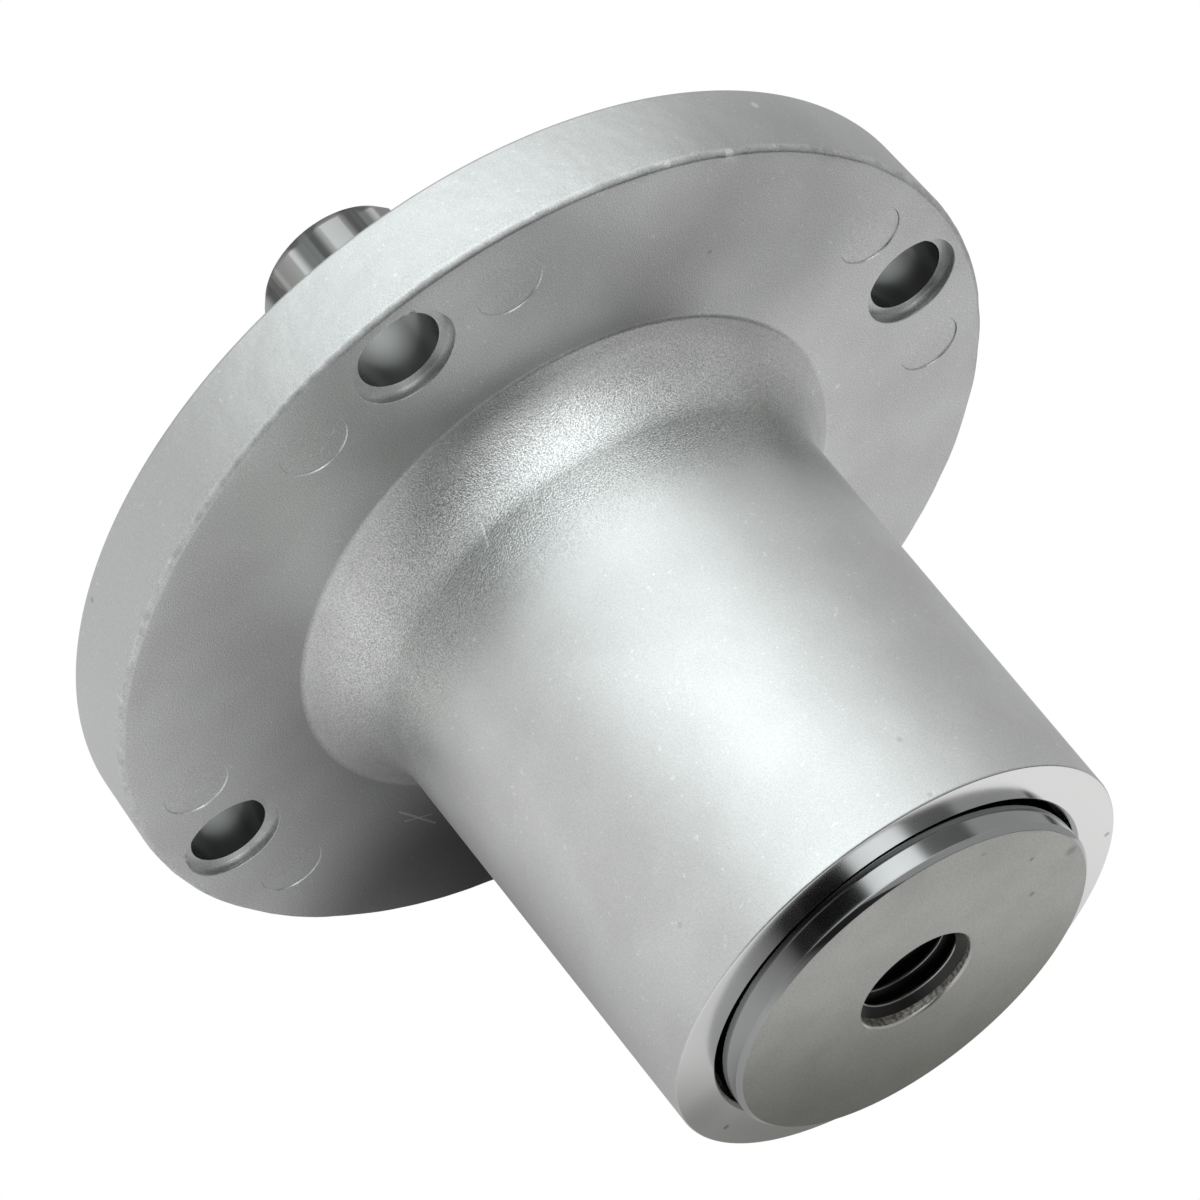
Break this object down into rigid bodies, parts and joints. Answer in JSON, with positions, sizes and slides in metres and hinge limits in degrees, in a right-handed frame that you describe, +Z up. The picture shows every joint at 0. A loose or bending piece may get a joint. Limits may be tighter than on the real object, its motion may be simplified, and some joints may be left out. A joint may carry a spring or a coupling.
{
  "type": "mower deck spindle",
  "caption": "Flanged cast housing with a long tapering barrel, carrying a splined shaft with a broad threaded head on sealed ball bearings.",
  "frame": {"origin": "centre of the flange's flat mounting face, on the shaft's axis", "axes": "+Z up the shaft towards its splined end, +X through one of the flange's bolt holes"},
  "size_m": [0.132, 0.132, 0.1379],
  "materials": {
    "cast_housing": "blasted die casting, satin",
    "turned_steel": "turned and ground, satin",
    "bearing_steel": "ground and polished",
    "pressed_steel": "pressed, lightly oiled",
    "seal_rubber": "moulded, matte"
  },
  "bodies": {
    "housing": {"housing": "cast_housing", "lower_bearing_outer_ring": "bearing_steel", "lower_bearing_lower_seal": "seal_rubber", "lower_bearing_upper_seal": "seal_rubber", "upper_bearing_outer_ring": "bearing_steel", "upper_bearing_lower_seal": "seal_rubber", "upper_bearing_upper_seal": "seal_rubber"},
    "shaft": {"spindle_shaft": "turned_steel", "bearing_spacer": "turned_steel", "dust_shield": "pressed_steel", "lower_bearing_inner_ring": "bearing_steel", "upper_bearing_inner_ring": "bearing_steel"},
    "lower_cage": {"lower_bearing_balls": "bearing_steel", "lower_bearing_cage_lower_half": "pressed_steel", "lower_bearing_cage_upper_half": "pressed_steel", "lower_bearing_cage_rivets": "pressed_steel"},
    "upper_cage": {"upper_bearing_balls": "bearing_steel", "upper_bearing_cage_lower_half": "pressed_steel", "upper_bearing_cage_upper_half": "pressed_steel", "upper_bearing_cage_rivets": "pressed_steel"}
  },
  "joints": [
    {"name": "shaft_spin", "type": "hinge", "parent": "housing", "child": "shaft", "pos_m": [0, 0, 0], "axis": [0, 0, 1], "continuous": true},
    {"name": "lower_cage_spin", "type": "hinge", "parent": "housing", "child": "lower_cage", "pos_m": [0, 0, -0.071], "axis": [0, 0, 1], "continuous": true},
    {"name": "upper_cage_spin", "type": "hinge", "parent": "housing", "child": "upper_cage", "pos_m": [0, 0, -0.0051], "axis": [0, 0, 1], "continuous": true}
  ],
  "couplings": [
    {"joint": "lower_cage_spin", "follows": "shaft_spin", "ratio": 0.3969},
    {"joint": "upper_cage_spin", "follows": "shaft_spin", "ratio": 0.3969}
  ]
}
